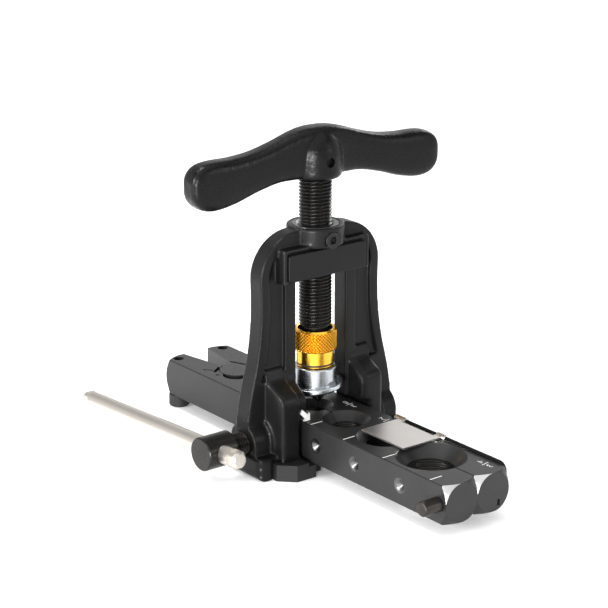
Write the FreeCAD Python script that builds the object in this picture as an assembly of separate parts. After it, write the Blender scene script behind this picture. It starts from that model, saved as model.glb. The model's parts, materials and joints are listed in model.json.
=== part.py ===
import FreeCAD, Part
import math
import os

# Flaring tool: a screw yoke that slides along a hinged two-piece die bar.
# Millimetres, +Z up. The origin is on the feed screw's axis, at the surface the tool stands on.
# -Y is the front (largest die), +Y the rear (hinge and handles of the die bar).

V = FreeCAD.Vector
X_AXIS = V(1, 0, 0)
Y_AXIS = V(0, 1, 0)
Z_AXIS = V(0, 0, 1)
INCH = 25.4
FIT = 0.05                      # radial running clearance
GAP = 0.3                       # clearance between bodies that only pass each other

# Die bar: two square halves side by side
BAR_SIDE = 16.0
BAR_BOTTOM = 5.5
BAR_TOP = BAR_BOTTOM + BAR_SIDE
AXIS_Z = BAR_BOTTOM + BAR_SIDE / 2
BAR_FRONT = -99.3
BAR_REAR = 86.0
END_CONE = 2.9                  # length of the turned chamfer at each end
DIES = (                        # name, tube diameter, place along the bar, depth of the 45 degree seat
    ("quarter", INCH * 1 / 4, 17.5, 2.4),
    ("three_eighths", INCH * 3 / 8, 0.0, 2.95),
    ("half", INCH * 1 / 2, -20.7, 3.45),
    ("five_eighths", INCH * 5 / 8, -45.0, 3.6),
    ("three_quarters", INCH * 3 / 4, -72.5, 4.6),
)
DIMPLE_R = 3.1
DIMPLE_BOTTOM_R = 0.15
DIMPLE_DEPTH = 2.0
SMALL_HOLE_R = 0.9
EDGE_BREAK = 0.4                # chamfer on the long edges
SEAT_OVERRUN = 1.0              # how far the tool that cuts a seat runs on above the bar

# Hinge of the two halves
PIVOT_Y = 54.5
HINGE_R = 7.7
HINGE_POCKET_R = 8.1
HINGE_PIN_R = 2.0
V_START_Y = 59.0
V_START_HALF = 2.3
V_END_HALF = 6.6
V_OVERLAP = 0.5                 # the wedge cut starts this far across the joint between the halves
V_LEAD = 1.5                    # length over which the wedge opens at its start
SPRING_R = 4.4
SPRING_WIRE = 1.1
SPRING_ROOM = 0.5               # play around the leg, so that the jaws can open
SPRING_HALF = 2.3
SPRING_CLEAR = 0.7              # around the coil
HINGE_PLAY = 0.05               # between the two hinge discs
HINGE_SLOTS_LEFT = (            # start, end, width, depth of the narrow slots in the left half's top
    ((-9.3, 58.2), (-4.2, 61.8), 1.5, 3.0),
    ((-11.6, 63.4), (-9.0, 60.2), 0.9, 2.0),
)
HINGE_SLOTS_RIGHT = (((3.9, 64.4), (6.6, 58.0), 1.5, 3.0),)
CRESCENT = (-4.2, 49.4, 5.9, 3.0)       # x, y, radius, depth of the crescent recess beside the disc
SMALL_HOLE = (-10.7, 54.2, 2.5)         # x, y, depth
END_SLOT = (10.2, 11.5, 7.4, 10.0, 2.0)  # x limits, z limits and depth of the slot in the right end face

# Stop pin through the left half's front end
STOP_PIN_R = 3.0
STOP_PIN_Y = -94.9
STOP_PIN_IN = -9.0
STOP_PIN_OUT = -24.6
STOP_PIN_BEVEL = 0.5

# Feet under the rear ends
FOOT_X = 11.9
FOOT_Y = 82.0
FOOT_R = 4.6
FOOT_BEVEL = 0.7
FOOT_SCREW_R = 2.3
FOOT_SCREW_TOP = BAR_TOP - 3.0
FOOT_HEAD_R = 3.4
FOOT_HEAD_BOTTOM = 1.0
FOOT_HEAD_TOP = 3.0
FOOT_SOCKET_R = 1.2

# Clear bumper under the right half's front end
BUMPER_R = 2.6
BUMPER_X = 9.5
BUMPER_Y = -92.5
BUMPER_DROP = 2.2

# Yoke casting
YOKE_HALF_T = 4.1               # half thickness of the arch
SHOULDER_R = 18.7
SHOULDER_X = 11.5
SHOULDER_Z = 79.9
LEG_FLARE = ((30.4, 60.0), (32.3, 47.0), (35.2, 35.0), (37.4, 22.0))
WINDOW_HALF = 12.9
WINDOW_TOP = 84.0
WINDOW_CORNER = 5.0
ARCH_BOTTOM = 20.0
ABOVE_ARCH = 120.0              # any height clear of the casting
RIM = 4.3
RECESS_BOTTOM = 38.5
RECESS_DEPTH = 2.0
BORDER = 5.4
OPEN_LEFT = -19.3
OPEN_RIGHT = 16.2
OPEN_TOP = 22.0
PAD_REAR = 9.0
PAD_ROUND = ((0.0, -3.5), (1.2, -1.0), (3.6, 0.3))      # back from the pad's front, above its top
PAD_ROOT = (1.0, 3.2)                   # in front of the arch, above the pad's top
PAD_RIB = (0.6, 8.0)                    # inside the arch's faces, above the pad's top
PAD_REAR_DROP = 2.0
LEG_BLOCK = (24.0, 37.4, 4.0, 24.0)     # x and z limits of the leg's lower end
SIDE_BOSS_X = (27.0, 37.2)
SIDE_FLANGE_X = (24.5, 29.2)
SHELF_TOP = 9.6
BORDER_TOP = 100.0
BORDER_CORNER = 6.0
TOP_BOSS_R = 11.8
TOP_BOSS_Z = 99.5
SIDE_BOSS_R = 8.5
SIDE_FLANGE_R = 10.5
SKIRT_IN = 31.7
SKIRT_OUT = 38.0
SKIRT_HALF_Y = 13.0
SKIRT_TOP = 9.0
SKIRT_ROUND = 3.0
ROD_RELIEF = (12.5, 18.1, 19.6, 23.6)   # x and z limits of the channel that the stop's wire passes
PADS = (                        # x limits, front face, top of the rounded pads beside the bar
    (-28.4, -19.3, -15.2, 35.2),
    (-19.8, -13.6, -12.6, 33.6),
    (16.2, 25.0, -13.8, 36.2),
    (14.2, 16.8, -13.2, 35.4),
)
PLAQUE_HALF = 19.6
PLAQUE_Z0 = 79.2
PLAQUE_Z1 = 90.6
POCKET_BOTTOM = 76.8
POCKET_TOP = 91.55
PLAQUE_FRONT = -8.4
PLAQUE_BACK = -7.15
PLAQUE_CORNER = 1.4
PLAQUE_EDGE = 0.6
SEAT_HALF = 21.7                # the raised wall around the plaque's pocket
SEAT_FRONT = -7.9
SEAT_Z = (78.6, 92.65)
SET_SCREW_R = 3.5
SET_SCREW_Z = 94.4
SET_SCREW_HEX = 1.75
SET_SCREW_SOCKET = 1.6

# Base plate
BASE_T = 7.0
BASE_HALF_X = 31.2
BASE_FRONT = -20.8
BASE_REAR = 13.0
BASE_CORNER = 6.0               # flats across the corners
BASE_CHANNEL_Z = BAR_BOTTOM - 0.1
BASE_RECESS = (-15.6, 13.0, 4.2)        # x limits and depth of the step in the front edge
TUBE_SLOT_R = 9.9               # lets a tube hang down through the plate
BASE_SCREWS = ((-24.5, -8.0), (-24.5, 5.0), (22.0, -8.0), (22.0, 5.0))
BASE_SCREW_R = 1.75
BASE_HEAD_R = 3.1
BASE_HEAD_BOTTOM = 0.4
BASE_HEAD_TOP = 3.6
BASE_SOCKET_R = 1.4
BASE_SOCKET_TOP = 2.2

# Feed screw and what it carries
SCREW_R = 6.7
BUSHING_R = 9.5
BUSHING_LEAD = 1.6              # chamfer at the top of the bushing's bore
BUSHING_BOTTOM = 91.9           # above the plaque's pocket; below it the screw runs in the casting
NECK_R = 5.2
COLLAR_TOP = 55.5
THREAD_BOTTOM = COLLAR_TOP + 0.9
KNURL_BOTTOM = 46.4
COLLAR_BOTTOM = 39.6
KNURL_R = 8.9
COLLAR_R = 7.7
COLLAR_CAVITY_R = 6.75
COLLAR_CUP_R = 7.2              # the shallow cup in the collar's top
COLLAR_CUP = 2.2
COLLAR_BEVEL = 0.7
RING_Z0 = 40.2
RING_Z1 = 41.0
RING_IN = 7.2
NUT_R = 6.3                     # the nut that holds the collar on the neck
NUT_BORE = 4.2
NUT_TOP = 45.0
NUT_BOTTOM = 43.2
WASHER_R = 6.5
WASHER_BORE = 2.5
WASHER_TOP = 43.1
WASHER_BOTTOM = 42.0
BALL_R = 0.95
BALL_RING_R = 4.9
BALL_COUNT = 12
BALL_Z = WASHER_BOTTOM - BALL_R - 0.03
SPIGOT_R = 2.3                  # the screw's lower end, on which the cone head turns
SPIGOT_BOTTOM = 36.5
SNAP_Z0 = 37.2
SNAP_Z1 = 37.9
SNAP_IN = 1.8
SNAP_OUT = 2.9
HOLDER_TOP = 39.3
HOLDER_SPIGOT_R = 6.6
HOLDER_SPIGOT_TOP = 40.0
HOLDER_R = 8.9
HEAD_TILT = 7.0                 # degrees, tilt of the cone's own axis
HEAD_DIRECTION = -37.9          # degrees about Z, the way the cone leans at rest
HEAD_OFFSET = 0.8
FLANGE_R = 11.1
FLANGE_T = 3.0
FLANGE_BOTTOM = 28.5
CONE_BASE_R = 5.7
CONE_NOSE_R = 0.9
CONE_LENGTH = 5.2
SHANK_R = 3.5
SHANK_TOP = 6.5
CONE_TIP = 0.4                  # length of the blunt tip

# Handle
HANDLE_TURN = -3.0              # degrees about Z
HUB_R = 10.8
HUB_BOTTOM = 118.6
HUB_SHOULDER = 136.0
HUB_TOP = 139.6
HUB_BEVEL = 1.4
HUB_DOME = (3.5, 0.4)           # in from the hub's side and below its top, where the dome begins
SCREW_TOP = 127.6
HANDLE_PIN_R = 2.0
HANDLE_PIN_Z = 126.0
HANDLE_PIN_HALF = 9.0           # the pin's ends lie below the hub's surface
SECTION_POWER = 4.2             # roundness of the grip's section: 2 is an ellipse, more is squarer
HANDLE_SECTIONS = (             # distance from the axis, centre height, half height, half thickness
    (0.0, 128.8, 9.4, 5.8),
    (11.0, 128.5, 9.2, 5.5),
    (20.0, 127.0, 8.1, 5.3),
    (30.0, 124.6, 7.9, 5.3),
    (40.0, 122.5, 9.0, 5.4),
    (49.0, 121.7, 9.6, 5.5),
    (54.5, 121.7, 8.6, 5.4),
    (57.6, 121.8, 6.6, 5.0),
    (59.2, 121.9, 4.2, 3.9),
    (59.6, 121.9, 2.6, 2.6),
)

# Clamp screw, along X through the left leg
CLAMP_R = 4.9
CLAMP_HEAD_R = 6.9
CLAMP_HEAD_IN = -44.3
CLAMP_HEAD_OUT = -58.0
CLAMP_INNER = -24.5
TIP_R = 3.4
TIP_NOSE = -BAR_SIDE - GAP
TIP_NOSE_LENGTH = 3.4
TIP_NOSE_R = 0.6
TIP_STUB_R = 2.0
TIP_STUB = 4.0
CLAMP_BEVEL = 0.5
TOMMY_R = 3.75
TOMMY_X = -50.6
TOMMY_TILT = 3.3
TOMMY_FRONT = -17.0
TOMMY_REAR = 95.5
TOMMY_BEVEL = 1.0
TOMMY_END_R = 2.55
TOMMY_FLAT = 3.15               # distance of the end flats from the bar's axis
TOMMY_FLAT_LENGTH = 4.5

# Tube stop on the right half: a bent wire and a plate that flips over on it
ROD_R = 0.6
ROD_X = 16.4
ROD_Z = 21.9
ROD_REAR = -31.0
ROD_FRONT = -96.4
ROD_BEND_R = 3.0
ROD_BEND_STEPS = 6
ROD_END_X = 13.5
ROD_END_Z = 8.4
STOP_FRONT = -61.3
STOP_REAR = -35.6
STOP_LEFT = -4.6
STOP_T = 0.8
STOP_Z = BAR_TOP + 0.25
KNUCKLE_R = 1.4
KNUCKLES = (                    # outer and inner end of each rolled knuckle
    (STOP_FRONT - 1.6, STOP_FRONT + 3.4),
    (STOP_REAR + 3.0, STOP_REAR - 3.4),
)


def box(x0, x1, y0, y1, z0, z1):
    return Part.makeBox(x1 - x0, y1 - y0, z1 - z0, V(x0, y0, z0))


def rod(radius, start, end):
    return Part.makeCylinder(radius, (end - start).Length, start, end - start)


def along_x(radius, x0, x1, y=0.0, z=AXIS_Z):
    return rod(radius, V(x0, y, z), V(x1, y, z))


def along_z(radius, z0, z1, x=0.0, y=0.0):
    return rod(radius, V(x, y, z0), V(x, y, z1))


def tube(outer, inner, z0, z1, x=0.0, y=0.0):
    return along_z(outer, z0, z1, x, y).cut(along_z(inner, z0, z1, x, y))


def join(shapes):
    return shapes[0].fuse(list(shapes[1:])).removeSplitter()


def prism(edges, direction):
    return Part.Face(Part.Wire(edges)).extrude(direction)


def polygon(points, direction):
    return Part.Face(Part.makePolygon(list(points) + [points[0]])).extrude(direction)


def revolve(points):
    """A turned solid about Z from (radius, height) points."""
    outline = [V(r, 0, z) for r, z in points]
    return Part.Face(Part.makePolygon(outline + [outline[0]])).revolve(V(0, 0, 0), Z_AXIS, 360)


def mirror_x(shape):
    return shape.mirror(V(0, 0, 0), X_AXIS)


def die_tool():
    """Every die's bore and 45 degree seat, as one cutting body."""
    cuts = []
    for _, diameter, y, depth in DIES:
        r = diameter / 2
        height = depth + SEAT_OVERRUN
        seat = Part.makeCone(r, r + height, height, V(0, y, BAR_TOP - depth))
        cuts.append(along_z(r, BAR_BOTTOM - 1, BAR_TOP + 1, 0, y))
        cuts.append(seat)
    return Part.makeCompound(cuts)


def square_half(side):
    """One square bar with turned ends; side is -1 for the left half and 1 for the right."""
    half = BAR_SIDE / 2
    x0 = min(0, side * BAR_SIDE)
    bar = box(x0, x0 + BAR_SIDE, BAR_FRONT, BAR_REAR, BAR_BOTTOM, BAR_TOP)
    long_edges = []
    for edge in bar.Edges:
        span = edge.BoundBox
        if span.YLength > BAR_SIDE * 2:
            long_edges.append(edge)
    bar = bar.makeChamfer(EDGE_BREAK, long_edges)
    corner = half * math.sqrt(2) + 0.1
    middle = V(side * half, 0, AXIS_Z)
    front = middle + V(0, BAR_FRONT, 0)
    rear = middle + V(0, BAR_REAR, 0)
    turned = join([
        Part.makeCone(half, corner, END_CONE, front, Y_AXIS),
        Part.makeCylinder(corner, BAR_REAR - BAR_FRONT - 2 * END_CONE, front + V(0, END_CONE, 0), Y_AXIS),
        Part.makeCone(half, corner, END_CONE, rear, -Y_AXIS),
    ])
    return bar.common(turned).cut(die_tool())


def rear_wedge(side):
    """The space that lets the rear handles be squeezed together."""
    z0, z1 = BAR_BOTTOM - 1, BAR_TOP + 1
    points = (
        V(-side * V_OVERLAP, V_START_Y, z0),
        V(side * V_START_HALF, V_START_Y + V_LEAD, z0),
        V(side * V_END_HALF, BAR_REAR + 1, z0),
        V(-side * V_OVERLAP, BAR_REAR + 1, z0),
    )
    return polygon(points, V(0, 0, z1 - z0))


def hinge_layer(side):
    """Heights of the hinge disc that belongs to one half: the right half's is the upper one."""
    if side > 0:
        return AXIS_Z + HINGE_PLAY, BAR_TOP
    return BAR_BOTTOM, AXIS_Z - HINGE_PLAY


def half_with_hinge(side):
    own_z0, own_z1 = hinge_layer(side)
    other_z0, other_z1 = hinge_layer(-side)
    pocket = along_z(HINGE_POCKET_R, other_z0 - 0.1, other_z1 + 0.1, 0, PIVOT_Y)
    disc = along_z(HINGE_R, own_z0, own_z1, 0, PIVOT_Y)
    bar = square_half(side).cut([rear_wedge(side), pocket])
    bar = bar.fuse(disc)
    room = SPRING_HALF + GAP
    spring_room = along_z(SPRING_R + SPRING_CLEAR, AXIS_Z - room, AXIS_Z + room, 0, PIVOT_Y)
    foot_hole = along_z(FOOT_SCREW_R, BAR_BOTTOM - 1, BAR_TOP + 1, side * FOOT_X, FOOT_Y)
    return bar.cut([spring_room, foot_hole])


def slot(start, end, width, depth):
    """A narrow round-ended slot in the bar's top face."""
    start = V(*start, 0)
    end = V(*end, 0)
    direction = end - start
    side = V(-direction.y, direction.x, 0).normalize() * (width / 2)
    points = [start + side, start - side, end - side, end + side]
    floor = V(0, 0, BAR_TOP - depth)
    body = polygon([p + floor for p in points], V(0, 0, depth + 1))
    ends = [along_z(width / 2, BAR_TOP - depth, BAR_TOP + 1, p.x, p.y) for p in (start, end)]
    return body.fuse(ends)


def die_bar_left():
    bar = half_with_hinge(-1)
    cuts = [along_z(HINGE_PIN_R + FIT, BAR_BOTTOM - 1, AXIS_Z + 1, 0, PIVOT_Y)]
    for _, _, y, _ in DIES:
        cuts.append(Part.makeCone(DIMPLE_R, DIMPLE_BOTTOM_R, DIMPLE_DEPTH, V(-BAR_SIDE, y, AXIS_Z), X_AXIS))
    cuts.append(along_x(STOP_PIN_R, -BAR_SIDE - 1, STOP_PIN_IN, STOP_PIN_Y))
    for line in HINGE_SLOTS_LEFT:
        cuts.append(slot(*line))
    crescent_x, crescent_y, crescent_r, depth = CRESCENT
    cuts.append(along_z(crescent_r, BAR_TOP - depth, BAR_TOP + 1, crescent_x, crescent_y))
    hole_x, hole_y, depth = SMALL_HOLE
    cuts.append(along_z(SMALL_HOLE_R, BAR_TOP - depth, BAR_TOP + 1, hole_x, hole_y))
    cuts.append(spring_leg(SPRING_WIRE / 2 + SPRING_ROOM, SPRING_ROOM))
    return bar.cut(cuts).removeSplitter()


def die_bar_right():
    bar = half_with_hinge(1)
    x0, x1, z0, z1, depth = END_SLOT
    cuts = [
        along_z(HINGE_PIN_R, AXIS_Z - 1, BAR_TOP + 1, 0, PIVOT_Y),
        box(x0, x1, BAR_FRONT - 1, BAR_FRONT + depth, z0, z1),
        rod_path(ROD_R),
        spring_leg(SPRING_WIRE / 2),
    ]
    for line in HINGE_SLOTS_RIGHT:
        cuts.append(slot(*line))
    for outer, inner in KNUCKLES:
        y0 = min(outer, inner) - GAP
        y1 = max(outer, inner) + GAP
        cuts.append(rod(KNUCKLE_R + GAP, V(ROD_X, y0, ROD_Z), V(ROD_X, y1, ROD_Z)))
    return bar.cut(cuts).removeSplitter()


def spring_leg(radius, play=0.0):
    """The leg of the closing spring that bears on the left half."""
    start = V(-3.7, PIVOT_Y + 1.0, AXIS_Z)
    end = V(-9.9, PIVOT_Y + 2.3, AXIS_Z)
    direction = (end - start).normalize()
    return rod(radius, start, end + direction * play)


def jaw_spring():
    body = tube(SPRING_R, SPRING_R - SPRING_WIRE, AXIS_Z - SPRING_HALF, AXIS_Z + SPRING_HALF, 0, PIVOT_Y)
    return join([body, spring_leg(SPRING_WIRE / 2)])


def hinge_pin():
    return along_z(HINGE_PIN_R, BAR_BOTTOM + 0.5, BAR_TOP, 0, PIVOT_Y)


def stop_pin():
    tip = V(STOP_PIN_OUT, STOP_PIN_Y, AXIS_Z)
    body = along_x(STOP_PIN_R, STOP_PIN_OUT + STOP_PIN_BEVEL, STOP_PIN_IN, STOP_PIN_Y)
    return join([body, Part.makeCone(STOP_PIN_R - STOP_PIN_BEVEL, STOP_PIN_R, STOP_PIN_BEVEL, tip, X_AXIS)])


def rubber_foot(side):
    x = side * FOOT_X
    foot = join([
        Part.makeCone(FOOT_R - FOOT_BEVEL, FOOT_R, FOOT_BEVEL, V(x, FOOT_Y, 0)),
        along_z(FOOT_R, FOOT_BEVEL, BAR_BOTTOM, x, FOOT_Y),
    ])
    recess = along_z(FOOT_HEAD_R, -1, FOOT_HEAD_TOP, x, FOOT_Y)
    hole = along_z(FOOT_SCREW_R, -1, BAR_BOTTOM + 1, x, FOOT_Y)
    return foot.cut([recess, hole])


def foot_screw(side):
    x = side * FOOT_X
    head = along_z(FOOT_HEAD_R, FOOT_HEAD_BOTTOM, FOOT_HEAD_TOP, x, FOOT_Y)
    stem = along_z(FOOT_SCREW_R, FOOT_HEAD_TOP, FOOT_SCREW_TOP, x, FOOT_Y)
    socket = along_z(FOOT_SOCKET_R, FOOT_HEAD_BOTTOM - 1, FOOT_HEAD_BOTTOM + FOOT_SOCKET_R, x, FOOT_Y)
    return join([head, stem]).cut(socket)


def rod_path(radius):
    """The stop's wire: out of the bar's top, along its right edge, round a bend, down and back in."""
    points = [V(ROD_END_X, ROD_REAR, BAR_TOP - 3), V(ROD_X, ROD_REAR, ROD_Z)]
    bend_y = ROD_FRONT + ROD_BEND_R
    bend_z = ROD_Z - ROD_BEND_R
    for k in range(ROD_BEND_STEPS + 1):
        angle = math.pi / 2 * k / ROD_BEND_STEPS
        points.append(V(ROD_X, bend_y - ROD_BEND_R * math.sin(angle), bend_z + ROD_BEND_R * math.cos(angle)))
    points.append(V(ROD_X, ROD_FRONT, ROD_END_Z))
    points.append(V(ROD_END_X, ROD_FRONT, ROD_END_Z))
    runs = [rod(radius, a, b) for a, b in zip(points, points[1:])]
    knees = [Part.makeSphere(radius, p) for p in points[1:-1]]
    return join(runs + knees)


def stop_rod():
    return rod_path(ROD_R)


def stop_plate():
    """The flip-over plate, rolled around the wire at its two right corners."""
    z1 = STOP_Z + STOP_T
    pieces = [box(STOP_LEFT, ROD_X - 2 * KNUCKLE_R, STOP_FRONT, STOP_REAR, STOP_Z, z1)]
    for outer, inner in KNUCKLES:
        edge = STOP_FRONT if outer < inner else STOP_REAR
        y0, y1 = sorted((edge, inner))
        pieces.append(box(ROD_X - 2 * KNUCKLE_R - 1, ROD_X - KNUCKLE_R / 2, y0, y1, STOP_Z, z1))
        pieces.append(rod(KNUCKLE_R, V(ROD_X, outer, ROD_Z), V(ROD_X, inner, ROD_Z)))
    bore = rod(ROD_R + FIT, V(ROD_X, STOP_FRONT - 5, ROD_Z), V(ROD_X, STOP_REAR + 5, ROD_Z))
    return join(pieces).cut(bore)


def front_bumper():
    """The part of a ball that stands below the bar."""
    reach = 2 * BUMPER_R
    dome = Part.makeSphere(BUMPER_R, V(BUMPER_X, BUMPER_Y, BAR_BOTTOM))
    below = box(
        BUMPER_X - reach, BUMPER_X + reach, BUMPER_Y - reach, BUMPER_Y + reach,
        BAR_BOTTOM - BUMPER_DROP, BAR_BOTTOM,
    )
    return dome.common(below)


def yoke_outline(inset):
    """The arch's outer edge from the left foot over the shoulders to the right foot, moved in by inset."""
    radius = SHOULDER_R - inset
    top = SHOULDER_Z + radius
    side = [V(x - inset, 0, z) for x, z in LEG_FLARE]
    flare = Part.BSplineCurve()
    flare.interpolate([V(SHOULDER_X + radius, 0, SHOULDER_Z)] + side)
    half = math.sqrt(0.5) * radius
    shoulder = Part.Arc(
        V(SHOULDER_X, 0, top),
        V(SHOULDER_X + half, 0, SHOULDER_Z + half),
        V(SHOULDER_X + radius, 0, SHOULDER_Z),
    )
    return shoulder.toShape(), flare.toShape(), side[-1], top


def arch_blank(inset, y0, y1):
    """A solid with the arch's outer shape, its edge moved in by inset."""
    bottom = ARCH_BOTTOM
    shoulder, flare, foot, top = yoke_outline(inset)
    edges = [
        Part.makeLine(V(0, 0, bottom), V(0, 0, top)),
        Part.makeLine(V(0, 0, top), V(SHOULDER_X, 0, top)),
        shoulder,
        flare,
        Part.makeLine(foot, V(foot.x, 0, bottom)),
        Part.makeLine(V(foot.x, 0, bottom), V(0, 0, bottom)),
    ]
    half = prism(edges, V(0, y1 - y0, 0))
    half.translate(V(0, y0, 0))
    return half.fuse(mirror_x(half)).removeSplitter()


def window_tool(half_width, top, corner, bottom, y0, y1):
    """A straight-sided opening with rounded upper corners, through the arch."""
    body = box(-half_width, half_width, y0, y1, bottom, top)
    upper = [
        e for e in body.Edges
        if e.BoundBox.YLength > (y1 - y0) / 2 and e.BoundBox.ZMin > top - 1e-6
    ]
    return body.makeFillet(corner, upper)


def pad_profile(x0, x1, front, top):
    """A pad beside the die bar: upright front, rounded top that runs back into the arch."""
    root_gap, root_rise = PAD_ROOT
    rib_inset, rib_rise = PAD_RIB
    points = [V(x0, front, BASE_T)]
    for back, above in PAD_ROUND:
        points.append(V(x0, front + back, top + above))
    points += [
        V(x0, -YOKE_HALF_T - root_gap, top + root_rise),
        V(x0, -YOKE_HALF_T + rib_inset, top + rib_rise),
        V(x0, YOKE_HALF_T - rib_inset, top + rib_rise),
        V(x0, PAD_REAR, top - PAD_REAR_DROP),
        V(x0, PAD_REAR, BASE_T),
    ]
    return polygon(points, V(x1 - x0, 0, 0))


def side_foot():
    """The right leg's foot and boss: the boss lies on the clamp screw's line."""
    skirt = box(SKIRT_IN, SKIRT_OUT, -SKIRT_HALF_Y, SKIRT_HALF_Y, 0, SKIRT_TOP)
    edges = []
    for edge in skirt.Edges:
        span = edge.BoundBox
        lies_out = span.XMin > SKIRT_OUT - 0.1
        upright = span.ZLength > SKIRT_ROUND
        if lies_out and upright:
            edges.append(edge)
        elif lies_out and span.ZMax < 0.1:
            edges.append(edge)
    skirt = skirt.makeFillet(SKIRT_ROUND, edges)
    leg_in, leg_out, leg_z0, leg_z1 = LEG_BLOCK
    leg = box(leg_in, leg_out, -YOKE_HALF_T, YOKE_HALF_T, leg_z0, leg_z1)
    boss = along_x(SIDE_BOSS_R, *SIDE_BOSS_X)
    flange = along_x(SIDE_FLANGE_R, *SIDE_FLANGE_X)
    block = box(SIDE_FLANGE_X[0], SKIRT_OUT - 1.0, -SIDE_BOSS_R, SIDE_BOSS_R, BASE_T, AXIS_Z)
    shelf = box(leg_in, SKIRT_OUT - 0.6, -SKIRT_HALF_Y + 1, SKIRT_HALF_Y - 1, BASE_T, SHELF_TOP)
    return [skirt, leg, boss, flange, block, shelf]


def yoke_frame():
    reach = 40.0
    arch = arch_blank(0.0, -YOKE_HALF_T, YOKE_HALF_T)
    upper = box(-reach, reach, -reach, reach, RECESS_BOTTOM, ABOVE_ARCH)
    recess = arch_blank(RIM, -reach, reach).common(upper)
    border = window_tool(WINDOW_HALF + BORDER, BORDER_TOP, BORDER_CORNER, 0, -reach, reach)
    recess = recess.cut(border)
    web_half = YOKE_HALF_T - RECESS_DEPTH
    recess = recess.cut(box(-reach, reach, -web_half, web_half, 0, ABOVE_ARCH))
    arch = arch.cut(recess)
    body = [arch]
    for x0, x1, front, top in PADS:
        body.append(pad_profile(x0, x1, front, top))
    for piece in side_foot():
        body.append(piece)
        body.append(mirror_x(piece))
    body.append(along_z(TOP_BOSS_R, WINDOW_TOP - 1, TOP_BOSS_Z))
    body.append(box(-SEAT_HALF, SEAT_HALF, SEAT_FRONT, 0, *SEAT_Z))
    relief_x0, relief_x1, relief_z0, relief_z1 = ROD_RELIEF
    cuts = [
        box(-PLAQUE_HALF - GAP, PLAQUE_HALF + GAP, -reach, PLAQUE_BACK, POCKET_BOTTOM, POCKET_TOP),
        window_tool(WINDOW_HALF, WINDOW_TOP, WINDOW_CORNER, OPEN_TOP, -reach, reach),
        box(OPEN_LEFT, OPEN_RIGHT, -reach, reach, -1, OPEN_TOP),
        box(relief_x0, relief_x1, -reach, reach, relief_z0, relief_z1),
        box(-SKIRT_IN, SKIRT_IN, -reach, reach, -1, BASE_T),
        along_z(SCREW_R + FIT, WINDOW_TOP - 2, TOP_BOSS_Z),
        along_z(BUSHING_R, BUSHING_BOTTOM, TOP_BOSS_Z + 1),
        rod(SET_SCREW_R, V(0, -BUSHING_R + 0.5, SET_SCREW_Z), V(0, -TOP_BOSS_R - 1, SET_SCREW_Z)),
        along_x(CLAMP_R + FIT, -45, -10),
    ]
    return join(body).cut(cuts).removeSplitter()


def name_plaque():
    """A plain rounded plate in the pocket under the top boss."""
    plate = box(-PLAQUE_HALF, PLAQUE_HALF, PLAQUE_FRONT, PLAQUE_BACK, PLAQUE_Z0, PLAQUE_Z1)
    corners = [e for e in plate.Edges if e.BoundBox.YLength > 1]
    plate = plate.makeFillet(PLAQUE_CORNER, corners)
    face_edges = [e for e in plate.Edges if e.BoundBox.YMax < PLAQUE_FRONT + 1e-3]
    return plate.makeFillet(PLAQUE_EDGE, face_edges)


def bushing_set_screw():
    """Hexagon socket set screw that locks the bushing in the boss."""
    inner, outer = -BUSHING_R, -TOP_BOSS_R + 0.1
    body = rod(SET_SCREW_R, V(0, inner, SET_SCREW_Z), V(0, outer, SET_SCREW_Z))
    corners = []
    for k in range(6):
        angle = math.radians(60 * k)
        across = SET_SCREW_HEX * math.cos(angle)
        up = SET_SCREW_HEX * math.sin(angle)
        corners.append(V(across, outer - 0.1, SET_SCREW_Z + up))
    return body.cut(polygon(corners, V(0, SET_SCREW_SOCKET + 0.1, 0)))


def feed_bushing():
    bushing = tube(BUSHING_R, SCREW_R + FIT, BUSHING_BOTTOM, TOP_BOSS_Z)
    lead_in = Part.makeCone(SCREW_R, SCREW_R + BUSHING_LEAD, BUSHING_LEAD, V(0, 0, TOP_BOSS_Z - 1.2))
    return bushing.cut(lead_in)


def base_plate():
    plate = box(-BASE_HALF_X, BASE_HALF_X, BASE_FRONT, BASE_REAR, 0, BASE_T)
    corners = [e for e in plate.Edges if e.BoundBox.ZLength > 1]
    plate = plate.makeChamfer(BASE_CORNER, corners)
    recess_x0, recess_x1, recess = BASE_RECESS
    cuts = [
        box(OPEN_LEFT, OPEN_RIGHT, 2 * BASE_FRONT, 2 * BASE_REAR, BASE_CHANNEL_Z, BASE_T + 1),
        box(recess_x0, recess_x1, BASE_FRONT - 1, BASE_FRONT + recess, -1, BASE_T + 1),
        box(-TUBE_SLOT_R, TUBE_SLOT_R, BASE_FRONT - 1, 0, -1, BASE_T + 1),
        along_z(TUBE_SLOT_R, -1, BASE_T + 1),
    ]
    for x, y in BASE_SCREWS:
        cuts.append(along_z(BASE_SCREW_R, -1, BASE_T + 1, x, y))
        cuts.append(along_z(BASE_HEAD_R, -1, BASE_HEAD_TOP, x, y))
    return plate.cut(cuts)


def base_plate_screws():
    """Four socket head screws that come up from below, in one group."""
    screws = []
    for x, y in BASE_SCREWS:
        head = along_z(BASE_HEAD_R, BASE_HEAD_BOTTOM, BASE_HEAD_TOP, x, y)
        stem = along_z(BASE_SCREW_R, BASE_HEAD_TOP, BASE_T, x, y)
        socket = along_z(BASE_SOCKET_R, 0, BASE_SOCKET_TOP, x, y)
        screws.append(join([head, stem]).cut(socket))
    return Part.makeCompound(screws)


def handle_pin_hole():
    reach = 2 * HUB_R
    return turn_with_handle(rod(HANDLE_PIN_R, V(0, -reach, HANDLE_PIN_Z), V(0, reach, HANDLE_PIN_Z)))


def turn_with_handle(shape):
    shape.rotate(V(0, 0, 0), Z_AXIS, HANDLE_TURN)
    return shape


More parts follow.
